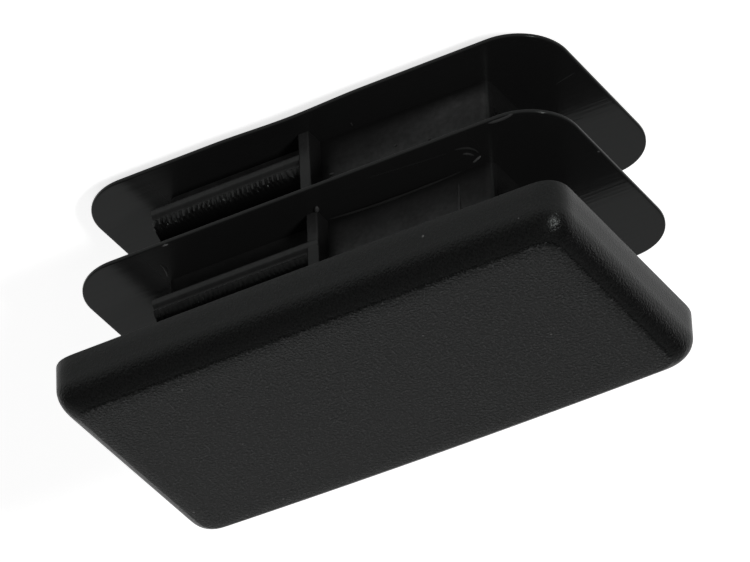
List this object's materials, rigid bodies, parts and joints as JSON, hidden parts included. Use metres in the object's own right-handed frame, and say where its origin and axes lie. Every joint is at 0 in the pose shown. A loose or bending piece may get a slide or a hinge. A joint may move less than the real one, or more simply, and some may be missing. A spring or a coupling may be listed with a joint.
{
  "type": "profile end cap",
  "caption": "Plastic end cap for a rectangular tube or profile: a thick head with crowned edges covers the end, and thin fins round a hollow core grip inside.",
  "frame": {"origin": "centre of the core's rim, the foot that the cap stands on", "axes": "+Z out through the visible face, +X along the 60 mm side, +Y across the 30 mm side"},
  "size_m": [0.06, 0.03, 0.029],
  "materials": {
    "plastic": "black moulded polyethylene, fine spark-eroded grain on the head, smoother satin on fins and core"
  },
  "bodies": {
    "root": {"end_cap": "plastic"}
  },
  "joints": []
}
